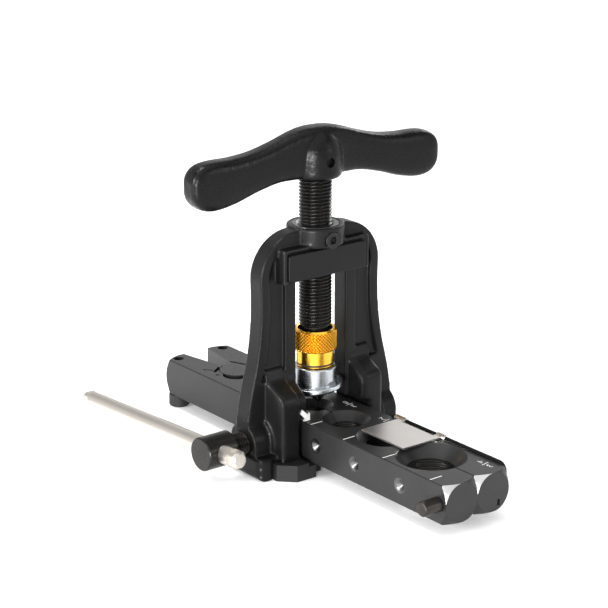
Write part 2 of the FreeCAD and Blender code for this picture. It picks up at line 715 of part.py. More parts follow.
def feed_screw():
    """Threaded length, the neck that the collar turns on, the nut's stub and the grooved spigot."""
    body = join([
        along_z(SCREW_R, THREAD_BOTTOM, SCREW_TOP),
        along_z(NECK_R, NUT_TOP, THREAD_BOTTOM + 0.1),
        along_z(NUT_BORE, NUT_BOTTOM, NUT_TOP + 0.1),
        along_z(SPIGOT_R, SPIGOT_BOTTOM, NUT_BOTTOM + 0.1),
    ])
    return body.cut([handle_pin_hole(), tube(SPIGOT_R + 1, SNAP_IN, SNAP_Z0, SNAP_Z1)])


def collar_nut():
    """Holds the collar on the neck and presses on the thrust washer."""
    return tube(NUT_R, NUT_BORE, NUT_BOTTOM, NUT_TOP)


def snap_ring():
    """Keeps the cone head on the screw's spigot when the screw is wound up."""
    return tube(SNAP_OUT - FIT, SNAP_IN + FIT, SNAP_Z0 + FIT, SNAP_Z1 - FIT)


def thrust_washer():
    return tube(WASHER_R, WASHER_BORE, WASHER_BOTTOM, WASHER_TOP)


def thrust_balls():
    """The bearing's balls, as a group of separate solids."""
    balls = []
    for k in range(BALL_COUNT):
        angle = 2 * math.pi * k / BALL_COUNT
        centre = V(BALL_RING_R * math.cos(angle), BALL_RING_R * math.sin(angle), BALL_Z)
        balls.append(Part.makeSphere(BALL_R, centre))
    return Part.makeCompound(balls)


def knurled_collar():
    outer = revolve((
        (0, COLLAR_BOTTOM), (COLLAR_R - 0.3, COLLAR_BOTTOM), (COLLAR_R, COLLAR_BOTTOM + 0.3),
        (COLLAR_R, KNURL_BOTTOM), (KNURL_R - 0.4, KNURL_BOTTOM), (KNURL_R, KNURL_BOTTOM + 0.4),
        (KNURL_R, COLLAR_TOP - COLLAR_BEVEL), (KNURL_R - COLLAR_BEVEL, COLLAR_TOP), (0, COLLAR_TOP),
    ))
    cuts = [
        along_z(COLLAR_CAVITY_R, COLLAR_BOTTOM - 1, NUT_TOP + GAP),
        along_z(NECK_R + FIT, COLLAR_BOTTOM, COLLAR_TOP + 1),
        along_z(COLLAR_CUP_R, COLLAR_TOP - COLLAR_CUP, COLLAR_TOP + 1),
        tube(COLLAR_R + 1, RING_IN, RING_Z0, RING_Z1),
    ]
    return outer.cut(cuts)


def collar_ring():
    """Black ring in the groove at the collar's lower end."""
    return tube(COLLAR_R + 0.02, RING_IN, RING_Z0, RING_Z1)


def lean(shape):
    """Moves a shape built on the Z axis, with its pivot at the origin, onto the cone's leaning axis."""
    placed = shape.copy()
    placed.rotate(V(0, 0, 0), Y_AXIS, -HEAD_TILT)
    placed.translate(V(HEAD_OFFSET, 0, FLANGE_BOTTOM))
    placed.rotate(V(0, 0, 0), Z_AXIS, HEAD_DIRECTION)
    return placed


def cone_holder():
    upper_bottom = FLANGE_BOTTOM + FLANGE_T / 2
    upper = revolve((
        (0, upper_bottom), (HOLDER_R, upper_bottom), (HOLDER_R, HOLDER_TOP - 0.5),
        (HOLDER_R - 0.5, HOLDER_TOP), (HOLDER_SPIGOT_R, HOLDER_TOP),
        (HOLDER_SPIGOT_R, HOLDER_SPIGOT_TOP), (0, HOLDER_SPIGOT_TOP),
    ))
    flange = lean(revolve((
        (0, 0), (FLANGE_R - 1.8, 0), (FLANGE_R - 0.3, 0.9), (FLANGE_R, 1.2),
        (FLANGE_R, FLANGE_T - 0.3), (FLANGE_R - 0.3, FLANGE_T), (0, FLANGE_T),
    )))
    cuts = [
        lean(along_z(SHANK_R + FIT, -1, SHANK_TOP + 0.2)),
        along_z(SPIGOT_R + FIT, SPIGOT_BOTTOM - GAP, HOLDER_SPIGOT_TOP + 1),
        tube(SNAP_OUT, SPIGOT_R, SNAP_Z0, SNAP_Z1),
    ]
    return join([upper, flange]).cut(cuts)


def flaring_cone():
    shoulder = CONE_TIP / 2 - CONE_LENGTH
    cone = join([
        Part.makeCone(CONE_NOSE_R, CONE_BASE_R, CONE_LENGTH - CONE_TIP, V(0, 0, shoulder)),
        Part.makeCone(CONE_NOSE_R / 2, CONE_NOSE_R, CONE_TIP, V(0, 0, shoulder - CONE_TIP)),
    ])
    return lean(join([cone, along_z(SHANK_R, -0.5, SHANK_TOP)]))


def ring_points(centre_z, half_height, half_width, count=32, power=SECTION_POWER):
    """Points of a rounded-square section, as (across, height)."""
    points = []
    for k in range(count):
        angle = 2 * math.pi * k / count
        c, s = math.cos(angle), math.sin(angle)
        across = half_width * math.copysign(abs(c) ** (2 / power), c)
        height = centre_z + half_height * math.copysign(abs(s) ** (2 / power), s)
        points.append((across, height))
    return points


def handle():
    wings = []
    for side in (-1, 1):
        wires = []
        for distance, centre_z, half_height, half_width in HANDLE_SECTIONS:
            ring = [V(side * distance, a, h) for a, h in ring_points(centre_z, half_height, half_width)]
            curve = Part.BSplineCurve()
            curve.interpolate(Points=ring, PeriodicFlag=True)
            wires.append(Part.Wire(curve.toShape()))
        wings.append(Part.makeLoft(wires, True))
    dome_in, dome_drop = HUB_DOME
    hub = revolve((
        (0, HUB_BOTTOM), (HUB_R - HUB_BEVEL, HUB_BOTTOM), (HUB_R, HUB_BOTTOM + HUB_BEVEL),
        (HUB_R, HUB_SHOULDER), (HUB_R - dome_in, HUB_TOP - dome_drop), (0, HUB_TOP),
    ))
    grip = turn_with_handle(join([wings[0], wings[1], hub]))
    return grip.cut([along_z(SCREW_R, HUB_BOTTOM - 1, SCREW_TOP), handle_pin_hole()])


def handle_pin():
    start = V(0, -HANDLE_PIN_HALF, HANDLE_PIN_Z)
    end = V(0, HANDLE_PIN_HALF, HANDLE_PIN_Z)
    return turn_with_handle(rod(HANDLE_PIN_R, start, end))


def tommy_line(y):
    """A point on the tommy bar's axis at a distance y from the screw's axis."""
    angle = math.radians(TOMMY_TILT)
    return V(TOMMY_X, y * math.cos(angle), AXIS_Z - y * math.sin(angle))


def clamp_screw():
    outer = V(CLAMP_HEAD_OUT, 0, AXIS_Z)
    head = along_x(CLAMP_HEAD_R, CLAMP_HEAD_OUT + CLAMP_BEVEL, CLAMP_HEAD_IN)
    rim = Part.makeCone(CLAMP_HEAD_R - CLAMP_BEVEL, CLAMP_HEAD_R, CLAMP_BEVEL, outer, X_AXIS)
    stem = along_x(CLAMP_R, CLAMP_HEAD_IN, CLAMP_INNER)
    cross = rod(TOMMY_R + FIT, tommy_line(-30), tommy_line(30))
    socket = along_x(TIP_STUB_R + FIT, CLAMP_INNER - TIP_STUB - 0.2, CLAMP_INNER + 1)
    return join([head, rim, stem]).cut([cross, socket])


def clamp_tip():
    """Swivelling nose that presses in the dimple of the die in use."""
    start = CLAMP_INNER + 0.1
    shoulder = TIP_NOSE - TIP_NOSE_LENGTH
    body = along_x(TIP_R, start, shoulder)
    nose = Part.makeCone(TIP_R, TIP_NOSE_R, TIP_NOSE_LENGTH, V(shoulder, 0, AXIS_Z), X_AXIS)
    stub = along_x(TIP_STUB_R, start - TIP_STUB, start)
    return join([body, nose, stub])


def tommy_flats(end, inward):
    """Four flats around one end of the tommy bar, as cutting bodies."""
    up = inward.cross(X_AXIS).normalize()
    cuts = []
    for normal in (X_AXIS, -X_AXIS, up, -up):
        across = normal.cross(inward).normalize() * TOMMY_R
        corner = end - inward + normal * TOMMY_FLAT
        outline = [corner - across, corner + across, corner + across + normal, corner - across + normal]
        cuts.append(polygon(outline, inward * (TOMMY_FLAT_LENGTH + 1)))
    return cuts


def tommy_bar():
    front = tommy_line(TOMMY_FRONT)
    rear = tommy_line(TOMMY_REAR)
    direction = (rear - front).normalize()
    bevel = direction * TOMMY_BEVEL
    bar = join([
        Part.makeCone(TOMMY_END_R, TOMMY_R, TOMMY_BEVEL, front, direction),
        rod(TOMMY_R, front + bevel, rear - bevel),
        Part.makeCone(TOMMY_END_R, TOMMY_R, TOMMY_BEVEL, rear, -direction),
    ])
    return bar.cut(tommy_flats(front, direction) + tommy_flats(rear, -direction))


NODES = {
    "yoke_frame": yoke_frame,
    "base_plate": base_plate,
    "base_plate_screws": base_plate_screws,
    "name_plaque": name_plaque,
    "feed_bushing": feed_bushing,
    "bushing_set_screw": bushing_set_screw,
    "feed_screw": feed_screw,
    "collar_nut": collar_nut,
    "snap_ring": snap_ring,
    "handle": handle,
    "handle_pin": handle_pin,
    "thrust_washer": thrust_washer,
    "thrust_balls": thrust_balls,
    "knurled_collar": knurled_collar,
    "collar_ring": collar_ring,
    "cone_holder": cone_holder,
    "flaring_cone": flaring_cone,
    "clamp_screw": clamp_screw,
    "clamp_tip": clamp_tip,
    "tommy_bar": tommy_bar,
    "die_bar_left": die_bar_left,
    "die_bar_right": die_bar_right,
    "hinge_pin": hinge_pin,
    "jaw_spring": jaw_spring,
    "stop_pin": stop_pin,
    "foot_left": lambda: rubber_foot(-1),
    "foot_right": lambda: rubber_foot(1),
    "foot_screw_left": lambda: foot_screw(-1),
    "foot_screw_right": lambda: foot_screw(1),
    "stop_rod": stop_rod,
    "stop_plate": stop_plate,
    "front_bumper": front_bumper,
}

os.makedirs("parts", exist_ok=True)
for name, make in NODES.items():
    shape = make()
    shape.exportStep(f"parts/{name}.step")
    print(name, "solids", len(shape.Solids), "valid", shape.isValid(), "volume", round(shape.Volume, 1))
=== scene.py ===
import json
import math

import bmesh
import bpy
from mathutils import Matrix, Vector


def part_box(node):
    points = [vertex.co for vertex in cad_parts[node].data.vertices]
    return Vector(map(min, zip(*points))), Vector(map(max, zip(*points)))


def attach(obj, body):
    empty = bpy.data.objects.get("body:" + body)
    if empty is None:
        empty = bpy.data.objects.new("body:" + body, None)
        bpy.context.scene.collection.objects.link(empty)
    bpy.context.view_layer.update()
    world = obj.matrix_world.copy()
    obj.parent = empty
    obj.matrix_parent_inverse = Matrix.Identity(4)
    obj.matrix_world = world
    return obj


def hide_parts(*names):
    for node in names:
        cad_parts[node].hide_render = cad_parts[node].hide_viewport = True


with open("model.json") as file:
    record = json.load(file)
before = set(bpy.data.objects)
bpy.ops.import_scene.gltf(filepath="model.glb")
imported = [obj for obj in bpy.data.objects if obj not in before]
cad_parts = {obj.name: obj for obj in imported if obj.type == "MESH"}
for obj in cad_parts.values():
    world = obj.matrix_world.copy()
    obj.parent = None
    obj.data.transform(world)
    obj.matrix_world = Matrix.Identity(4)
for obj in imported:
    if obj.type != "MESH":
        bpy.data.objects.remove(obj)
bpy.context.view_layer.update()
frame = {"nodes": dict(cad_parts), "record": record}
nodes = frame["nodes"]

MM = 0.001
UP = Vector((0, 0, 1))

# Sizes that the looks share with the CAD model, in millimetres
BAR_TOP = 21.5
BAR_SIDE = 16.0
AXIS_Z = 13.5
DIES = (                        # tube size as text, bore radius, place along the bar, seat depth
    ("1/4", 3.175, 17.5, 2.4),
    ("3/8", 4.7625, 0.0, 2.95),
    ("1/2", 6.35, -20.7, 3.45),
    ("5/8", 7.9375, -45.0, 3.6),
    ("3/4", 9.525, -72.5, 4.6),
)


# ---------------------------------------------------------------- materials

WEAR_HIGHLIGHT_STARTS = 0.53              # pointiness at which an edge starts to look paler: partly rubbed wear, partly a painted highlight
WEAR_HIGHLIGHT_FULL = 0.60
NOISE_LOW = 0.3                 # the span that a noise mostly keeps to
NOISE_HIGH = 0.7


class Nodes:
    """A short way to write a node tree."""

    def __init__(self, name):
        self.material = bpy.data.materials.new(name)
        self.material.use_nodes = True
        self.tree = self.material.node_tree
        self.bsdf = self.tree.nodes["Principled BSDF"]
        self.coord = self.add("ShaderNodeTexCoord").outputs["Object"]

    def add(self, kind, **settings):
        node = self.tree.nodes.new(kind)
        for key, value in settings.items():
            setattr(node, key, value)
        return node

    def link(self, source, target):
        self.tree.links.new(source, target)

    def noise(self, scale, detail=4.0, roughness=0.55, stretch=None):
        node = self.add("ShaderNodeTexNoise")
        node.inputs["Scale"].default_value = scale
        node.inputs["Detail"].default_value = detail
        node.inputs["Roughness"].default_value = roughness
        if stretch is None:
            self.link(self.coord, node.inputs["Vector"])
        else:
            mapping = self.add("ShaderNodeMapping")
            mapping.inputs["Scale"].default_value = stretch
            self.link(self.coord, mapping.inputs["Vector"])
            self.link(mapping.outputs["Vector"], node.inputs["Vector"])
        return node.outputs["Fac"]

    def cells(self, scale):
        node = self.add("ShaderNodeTexVoronoi")
        node.inputs["Scale"].default_value = scale
        self.link(self.coord, node.inputs["Vector"])
        return node.outputs["Distance"]

    def map_range(self, source, low, high, to_low, to_high):
        node = self.add("ShaderNodeMapRange")
        node.inputs["From Min"].default_value = low
        node.inputs["From Max"].default_value = high
        node.inputs["To Min"].default_value = to_low
        node.inputs["To Max"].default_value = to_high
        self.link(source, node.inputs["Value"])
        return node.outputs["Result"]

    def mix(self, factor, first, second):
        node = self.add("ShaderNodeMix", data_type="RGBA")
        self.link(factor, node.inputs["Factor"])
        for socket, value in ((node.inputs["A"], first), (node.inputs["B"], second)):
            if isinstance(value, tuple):
                socket.default_value = value
            else:
                self.link(value, socket)
        return node.outputs["Result"]

    def bump(self, height, strength, distance, under=None):
        node = self.add("ShaderNodeBump")
        node.inputs["Strength"].default_value = strength
        node.inputs["Distance"].default_value = distance
        self.link(height, node.inputs["Height"])
        if under is not None:
            self.link(under, node.inputs["Normal"])
        return node.outputs["Normal"]

    def edge_wear_and_highlight(self):
        """1 on sharp outward edges, 0 elsewhere. It is only even on a dense mesh."""
        pointiness = self.add("ShaderNodeNewGeometry").outputs["Pointiness"]
        return self.map_range(pointiness, WEAR_HIGHLIGHT_STARTS, WEAR_HIGHLIGHT_FULL, 0.0, 1.0)

    def feed(self, socket, source):
        self.link(source, self.bsdf.inputs[socket])

    def roughness(self, noise, low, high):
        """Roughness between low and high, as the noise varies."""
        self.feed("Roughness", self.map_range(noise, NOISE_LOW, NOISE_HIGH, low, high))


def rgb(value, warmth=0.0):
    return (value * (1 + warmth), value, value * (1 - warmth), 1.0)


PEBBLE_SCALE = 0.55             # size of the coat's pebbles against its grain
COAT_SPREAD = 1.8               # how much paler the coat gets in broad patches


def cast_black(name, base, grain_scale, grain_strength, rough_low, rough_high, wear_and_highlight, specular):
    """Textured coat on a casting: fine pebbled grain, paler on sharp edges where wear is set, partly rubbed
    wear and partly a painted highlight along the rims.
    """
    m = Nodes(name)
    grain = m.noise(grain_scale, 3.0, 0.6)
    cells = m.cells(grain_scale * PEBBLE_SCALE)
    broad = m.noise(35.0, 2.0)
    patches = m.map_range(broad, 0.35, 0.7, 0.0, 1.0)
    colour = m.mix(patches, rgb(base), rgb(base * COAT_SPREAD))
    # paler sharp edges: partly rubbed wear, partly a painted highlight along the rims
    if wear_and_highlight > 0:
        colour = m.mix(m.edge_wear_and_highlight(), colour, rgb(wear_and_highlight))
    m.feed("Base Color", colour)
    m.roughness(grain, rough_low, rough_high)
    pebbles = m.bump(cells, grain_strength * 0.5, 0.00010)
    m.feed("Normal", m.bump(grain, grain_strength, 0.00012, pebbles))
    m.bsdf.inputs["Specular IOR Level"].default_value = specular
    return m.material


def metal(name, colour, rough_low, rough_high, scale, stretch=None, strength=0.06, metallic=1.0, shade=0.85):
    """Metal with fine working marks, drawn along one axis where stretch says so."""
    m = Nodes(name)
    marks = m.noise(scale, 6.0, 0.65, stretch)
    broad = m.noise(60.0, 3.0)
    darker = tuple(c * shade for c in colour[:3]) + (1.0,)
    m.feed("Base Color", m.mix(m.map_range(broad, 0.35, 0.65, 0.0, 1.0), darker, colour))
    m.roughness(marks, rough_low, rough_high)
    m.feed("Normal", m.bump(marks, strength, 0.00005))
    m.bsdf.inputs["Metallic"].default_value = metallic
    return m.material


def rubber(name, base):
    m = Nodes(name)
    grain = m.noise(900.0, 3.0)
    m.feed("Base Color", m.mix(grain, rgb(base), rgb(base * 1.6)))
    m.roughness(grain, 0.55, 0.75)
    m.feed("Normal", m.bump(grain, 0.15, 0.0001))
    return m.material


def clear_plastic(name):
    m = Nodes(name)
    haze = m.noise(500.0, 2.0)
    m.feed("Base Color", m.mix(haze, (0.80, 0.84, 0.88, 1), (0.92, 0.94, 0.96, 1)))
    m.roughness(haze, 0.08, 0.2)
    m.bsdf.inputs["Transmission Weight"].default_value = 0.7
    return m.material


def paint_mark(name):
    m = Nodes(name)
    uneven = m.noise(1500.0, 3.0)
    m.feed("Base Color", m.mix(uneven, (0.50, 0.50, 0.49, 1), (0.72, 0.72, 0.70, 1)))
    m.roughness(uneven, 0.45, 0.6)
    return m.material


def bar_steel(name):
    """Blackened bar stock: even satin grey with sparse pale specks."""
    m = Nodes(name)
    grain = m.noise(1100.0, 3.0)
    broad = m.noise(28.0, 3.0)
    specks = m.noise(1900.0, 1.0)
    colour = m.mix(m.map_range(broad, NOISE_LOW, NOISE_HIGH, 0.0, 1.0), rgb(0.016), rgb(0.022))
    colour = m.mix(m.map_range(specks, 0.70, 0.80, 0.0, 0.35), colour, rgb(0.12))
    m.feed("Base Color", colour)
    m.roughness(grain, 0.28, 0.38)
    m.feed("Normal", m.bump(grain, 0.10, 0.00005))
    m.bsdf.inputs["Metallic"].default_value = 0.2
    m.bsdf.inputs["Specular IOR Level"].default_value = 0.3
    return m.material


COATS = (       # name, base tone, grain scale, grain strength, roughness low and high, edge wear and painted highlight, specular
    ("yoke_black", 0.0040, 1500.0, 0.40, 0.28, 0.42, 0.05, 0.15),
    ("handle_black", 0.0016, 850.0, 0.9, 0.24, 0.38, 0.01, 0.17),
    ("base_grey", 0.009, 1400.0, 0.2, 0.42, 0.55, 0.0, 0.25),
    ("plaque_black", 0.002, 1800.0, 0.2, 0.34, 0.46, 0.0, 0.20),
    ("wire_black", 0.002, 1500.0, 0.1, 0.60, 0.75, 0.0, 0.08),
)
METALS = (      # name, colour, roughness low and high, scale, stretch, bump, metallic, dark patches
    ("bar_edge", rgb(0.07, 0.03), 0.30, 0.45, 900.0, None, 0.1, 0.8, 0.5),
    ("bushing_grey", rgb(0.12), 0.25, 0.38, 900.0),
    ("black_oxide", rgb(0.022, 0.06), 0.24, 0.40, 1200.0, None, 0.1, 0.75, 0.6),
    ("dark_fastener", rgb(0.02), 0.30, 0.45, 1000.0, None, 0.1, 0.7, 0.7),
    ("gold_anodised", (1.0, 0.54, 0.06, 1), 0.18, 0.30, 900.0, (1, 1, 8)),
    # painted shade: darker gold for the knurl's deep faces
    ("gold_valley", (0.55, 0.25, 0.015, 1), 0.35, 0.5, 900.0),
    ("bright_chrome", (0.50, 0.53, 0.56, 1), 0.20, 0.30, 800.0, (1, 1, 12), 0.03),
    ("cone_steel", rgb(0.42, 0.03), 0.10, 0.2, 800.0, (1, 1, 6), 0.04),
    ("bearing_steel", rgb(0.55), 0.15, 0.25, 700.0),
    ("spring_steel", rgb(0.5, 0.05), 0.2, 0.3, 900.0),
    ("pin_steel", rgb(0.05, 0.10), 0.3, 0.5, 500.0, None, 0.15, 0.9, 0.55),
    ("nickel", (0.60, 0.56, 0.51, 1), 0.28, 0.36, 900.0, (7, 0.35, 7), 0.03, 1.0, 0.96),
    ("stainless", (0.72, 0.69, 0.66, 1), 0.29, 0.33, 260.0, (10, 0.6, 10), 0.02, 1.0, 0.95),
    ("turned_steel", rgb(0.13), 0.25, 0.4, 1500.0, None, 0.2, 1.0, 0.7),
    # painted highlight: bright steel for the upper left corners of the bars' end cones, which face the key
    # light
    ("bright_cut", rgb(0.66), 0.28, 0.46, 900.0, (1, 9, 1), 0.15, 1.0, 0.8),
)
MATERIAL = {
    "bar_grey": bar_steel("bar_grey"),
    "black_rubber": rubber("black_rubber", 0.008),
    "clear_plastic": clear_plastic("clear_plastic"),
    "white_mark": paint_mark("white_mark"),
}
for row in COATS:
    MATERIAL[row[0]] = cast_black(*row)
for row in METALS:
    MATERIAL[row[0]] = metal(*row)

for subpart in frame["record"]["subparts"]:
    mesh = nodes[subpart["node"]].data
    mesh.materials.clear()
    mesh.materials.append(MATERIAL[subpart["material_slot"]])


# ---------------------------------------------------------------- helpers

SHARP_ANGLE = 50.0              # degrees; broken edges keep a hard shade above it
ALL_SMOOTH = 180.0
WELD = 2e-6                     # metres
FLAT_ENOUGH = 0.4               # degrees between faces that are merged into one


def piece(name, mesh, body, slot, material=None, smooth_angle=35.0):
    """Puts a mesh in the scene as a piece that rides on a body."""
    made = bpy.data.objects.new(name, mesh)
    bpy.context.scene.collection.objects.link(made)
    mesh.materials.clear()
    mesh.materials.append(MATERIAL[material or slot])
    mesh.shade_smooth()
    mesh.set_sharp_from_angle(angle=math.radians(smooth_angle))
    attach(made, body)
    return made


SUBPARTS = {subpart["node"]: subpart for subpart in frame["record"]["subparts"]}
BODY_OF = {}
for body_name, members in frame["record"]["behaviour"]["bodies"].items():
    for member in members:
        BODY_OF[member] = body_name


def slot_of(node):
    return SUBPARTS[node]["material_slot"]


def clean_copy(node):
    """A CAD node's mesh welded into plain faces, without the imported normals."""
    bm = bmesh.new()
    bm.from_mesh(nodes[node].data)
    bmesh.ops.remove_doubles(bm, verts=bm.verts, dist=WELD)
    merge = math.radians(FLAT_ENOUGH)
    bmesh.ops.dissolve_limit(bm, angle_limit=merge, verts=bm.verts, edges=bm.edges)
    points = [v.co.copy() for v in bm.verts]
    bm.verts.index_update()
    faces = [tuple(v.index for v in f.verts) for f in bm.faces]
    bm.free()
    mesh = bpy.data.meshes.new(node + "_copy")
    mesh.from_pydata(points, [], faces)
    mesh.validate()
    return mesh


def apply_modifiers(made):
    depsgraph = bpy.context.evaluated_depsgraph_get()
    mesh = bpy.data.meshes.new_from_object(made.evaluated_get(depsgraph))
    made.modifiers.clear()
    made.data = mesh
    return made


def finished(node, width, segments=2, angle=35.0, change=None, edge_material=None):
    """A CAD node with its edges broken, as a machined or moulded part has them."""
    mesh = clean_copy(node)
    if change is not None:
        change(mesh)
    made = piece(node + "_finished", mesh, BODY_OF[node], slot_of(node))
    bevel = made.modifiers.new("bevel", "BEVEL")
    bevel.width = width * MM
    bevel.segments = segments
    bevel.limit_method = "ANGLE"
    bevel.angle_limit = math.radians(angle)
    if edge_material is not None:
        made.data.materials.append(MATERIAL[edge_material])
        bevel.material = 1
    apply_modifiers(made)
    made.data.shade_smooth()
    made.data.set_sharp_from_angle(angle=math.radians(SHARP_ANGLE))
    weighted = made.modifiers.new("weighted", "WEIGHTED_NORMAL")
    weighted.keep_sharp = True
    weighted.weight = 100
    apply_modifiers(made)
    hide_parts(node)
    return made


def cast_skin(made, voxel, smoothing, rounder=None, extra=0):
    """Rounds a piece as a casting is; rounder(point) picks the vertices that get extra smoothing."""
    remesh = made.modifiers.new("remesh", "REMESH")
    remesh.mode = "VOXEL"
    remesh.voxel_size = voxel * MM
    apply_modifiers(made)
    smooth = made.modifiers.new("smooth", "SMOOTH")
    smooth.factor = 0.5
    smooth.iterations = smoothing
    if rounder is not None:
        group = made.vertex_groups.new(name="rounder")
        chosen = [v.index for v in made.data.vertices if rounder(v.co / MM)]
        group.add(chosen, 1.0, "ADD")
        more = made.modifiers.new("more", "SMOOTH")
        more.factor = 0.5
        more.iterations = extra
        more.vertex_group = "rounder"
    apply_modifiers(made)
    made.vertex_groups.clear()


def soften(node, voxel, smoothing, rounder=None, extra=0):
    """A CAD node with the rounded edges and filleted corners of a casting."""
    body, slot = BODY_OF[node], slot_of(node)
    made = piece(node + "_casting", clean_copy(node), body, slot, smooth_angle=ALL_SMOOTH)
    cast_skin(made, voxel, smoothing, rounder, extra)
    made.data.shade_smooth()
    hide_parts(node)
    return made


def mesh_from(name, points, faces):
    mesh = bpy.data.meshes.new(name)
    mesh.from_pydata([tuple(Vector(p) * MM) for p in points], [], faces)
    bm = bmesh.new()
    bm.from_mesh(mesh)
    bmesh.ops.remove_doubles(bm, verts=bm.verts, dist=1e-7)
    bmesh.ops.recalc_face_normals(bm, faces=bm.faces)
    bm.to_mesh(mesh)
    bm.free()
    return mesh


def surface_of_rings(name, rings, closed_ends=True):
    """A closed skin over rings that all have the same number of points."""
    count = len(rings[0])
    points = [p for ring in rings for p in ring]
    faces = []
    for k in range(len(rings) - 1):
        for i in range(count):
            j = (i + 1) % count
            a, b = k * count, (k + 1) * count
            faces.append((a + i, a + j, b + j, b + i))
    if closed_ends:
        faces.append(tuple(range(count))[::-1])
        last = (len(rings) - 1) * count
        faces.append(tuple(range(last, last + count)))
    return mesh_from(name, points, faces)


def lathe(name, profile, steps=96, radial=None, closed_ends=True):
    """A turned shape about Z from (radius, height) points; radial(angle, radius, height) may vary it."""
    rings = []
    for radius, height in profile:
        ring = []
        for i in range(steps):
            angle = 2 * math.pi * i / steps
            r = radius if radial is None else radial(angle, radius, height)
            ring.append((r * math.cos(angle), r * math.sin(angle), height))
        rings.append(ring)
    return surface_of_rings(name, rings, closed_ends)


FLANK_GAIN = 1.35               # more than 1 flattens the thread's crests
ROOT_FLAT = 0.12                # flattens its roots


def threaded(name, crest, root, pitch, z0, z1, steps=64, per_pitch=10, fade=1.2):
    """A right-hand screw about Z with a rounded vee thread that fades out at both ends."""
    rings = []
    count = max(2, int((z1 - z0) / pitch * per_pitch))
    for k in range(count + 1):
        z = z0 + (z1 - z0) * k / count
        end = min(z - z0, z1 - z) / fade
        blend = max(0.0, min(1.0, end))
        ring = []
        for i in range(steps):
            angle = 2 * math.pi * i / steps
            phase = (z / pitch - angle / (2 * math.pi)) % 1.0
            vee = 1.0 - abs(2.0 * phase - 1.0)
            shape = min(1.0, max(0.0, FLANK_GAIN * vee - ROOT_FLAT))
            radius = root + (crest - root) * (shape * blend)
            ring.append((radius * math.cos(angle), radius * math.sin(angle), z))
        rings.append(ring)
    return surface_of_rings(name, rings)


def joined(name, meshes):
    """One mesh that holds several closed skins."""
    bm = bmesh.new()
    for mesh in meshes:
        bm.from_mesh(mesh)
    made = bpy.data.meshes.new(name)
    bm.to_mesh(made)
    bm.free()
    return made


def along_minus_x(mesh, x, z=AXIS_Z):
    """Lays a shape built on Z along the clamp screw's line, its base at x."""
    turn = Matrix.Rotation(-math.pi / 2, 4, "Y")
    mesh.transform(Matrix.Translation((x * MM, 0, z * MM)) @ turn)
    return mesh


# ---------------------------------------------------------------- yoke

PAD_TOP = 44.0
PAD_BOTTOM = 8.0
PAD_BACK_Y = -4.6
PAD_REACH_X = 28.6
PAD_FACE_Y = -12.6


def beside_bar(point):
    """The pads in front of the arch, whose corners are well rounded."""
    high_enough = PAD_BOTTOM < point.z < PAD_TOP
    return high_enough and point.y < PAD_BACK_Y and abs(point.x) < PAD_REACH_X


soften("yoke_frame", 0.42, 10, beside_bar, 60)
finished("base_plate", 0.5, 3)
finished("name_plaque", 0.45, 4, 20.0)
finished("feed_bushing", 0.2)
finished("bushing_set_screw", 0.25)

ARROW_LENGTH = 6.2
ARROW_SHAFT = 4.0               # length of the shaft
ARROW_HEAD = 2.1                # half width of the head
ARROW_WIDTH = 1.9               # width of the shaft
ARROW_TILT = math.radians(-45)
ARROW_CENTRE = (-15.2, 23.9)    # x and z
ARROW_PROUD = 0.7               # how far it stands out of the pad
ARROW_ROOTED = 0.3              # how far it goes in


def arrow():
    """Raised white arrow on the pad beside the first index line."""
    tail, neck, half = -ARROW_LENGTH / 2, -ARROW_LENGTH / 2 + ARROW_SHAFT, ARROW_WIDTH / 2
    outline = (
        (tail, -half), (neck, -half), (neck, -ARROW_HEAD), (ARROW_LENGTH / 2, 0),
        (neck, ARROW_HEAD), (neck, half), (tail, half),
    )
    centre_x, centre_z = ARROW_CENTRE
    front, back = [], []
    for a, b in outline:
        x = centre_x + a * math.cos(ARROW_TILT) - b * math.sin(ARROW_TILT)
        z = centre_z + a * math.sin(ARROW_TILT) + b * math.cos(ARROW_TILT)
        front.append((x, PAD_FACE_Y - ARROW_PROUD, z))
        back.append((x, PAD_FACE_Y + ARROW_ROOTED, z))
    count = len(outline)
    faces = [tuple(range(count)), tuple(range(count, 2 * count))[::-1]]
    for i in range(count):
        j = (i + 1) % count
        faces.append((i, j, count + j, count + i))
    mesh = mesh_from("index_arrow", front + back, faces)
    return piece("index_arrow", mesh, "yoke", "yoke_black", "white_mark")


arrow()


# ---------------------------------------------------------------- feed screw, handle, collar

FEED_R = 6.7
FEED_ROOT = 5.95
FEED_PITCH = 1.43
FEED_BOTTOM = 56.4
FEED_TOP = 118.9
NECK_R = 5.2
NECK_PROFILE = (                # radius, height of the plain neck and spigot under the thread
    (0.01, 36.5), (2.3, 36.5), (2.3, 43.2), (NECK_R, 45.0), (NECK_R, 56.6), (0.01, 56.6),
)


def feed_screw():
    thread = threaded("feed_thread", FEED_R, FEED_ROOT, FEED_PITCH, FEED_BOTTOM, FEED_TOP)
    mesh = joined("feed_screw_threaded", [thread, lathe("feed_neck", NECK_PROFILE)])
    made = piece("feed_screw_threaded", mesh, "feed_screw", "black_oxide")
    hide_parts("feed_screw")
    return made


feed_screw()


